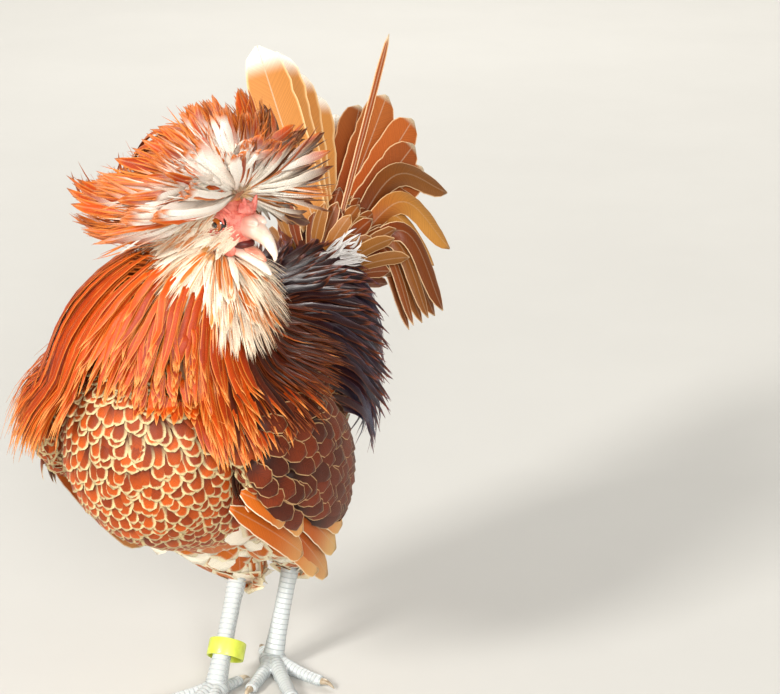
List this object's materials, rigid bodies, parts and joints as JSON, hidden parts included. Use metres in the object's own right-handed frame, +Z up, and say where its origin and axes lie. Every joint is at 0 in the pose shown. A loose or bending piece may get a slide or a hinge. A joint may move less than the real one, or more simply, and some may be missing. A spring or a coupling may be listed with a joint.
{
  "type": "polish crested cock",
  "caption": "Bearded crested cock standing still and life size, its head turned to its left, with a plastic leg band.",
  "frame": {"origin": "on the floor, below the middle of the whole bird", "axes": "+Z up, the breast faces -Y, the left side is +X"},
  "size_m": [0.2328, 0.444, 0.4522],
  "materials": {
    "buff_red_plumage": "orange-red buff plumage with pale lacing",
    "cream_plumage": "cream and orange plumage",
    "red_skin": "bare pink-red skin",
    "horn": "smooth pale horn",
    "slate_scale": "pale slate-blue scales",
    "eye": "wet and glossy",
    "band_plastic": "glossy lime-yellow plastic"
  },
  "bodies": {
    "root": {"beard": "cream_plumage", "bill_lower": "horn", "bill_upper": "horn", "claw_left_hind": "horn", "claw_left_inner": "horn", "claw_left_middle": "horn", "claw_left_outer": "horn", "claw_right_hind": "horn", "claw_right_inner": "horn", "claw_right_middle": "horn", "claw_right_outer": "horn", "comb": "red_skin", "crest": "cream_plumage", "eye_left": "eye", "eye_right": "eye", "foot_left": "slate_scale", "foot_right": "slate_scale", "head": "red_skin", "leg_band": "band_plastic", "neck": "buff_red_plumage", "rump": "buff_red_plumage", "shank_left": "slate_scale", "shank_right": "slate_scale", "tail": "buff_red_plumage", "thigh_left": "cream_plumage", "thigh_right": "cream_plumage", "tongue": "red_skin", "torso": "buff_red_plumage", "wing_left": "buff_red_plumage", "wing_right": "buff_red_plumage"}
  },
  "joints": []
}
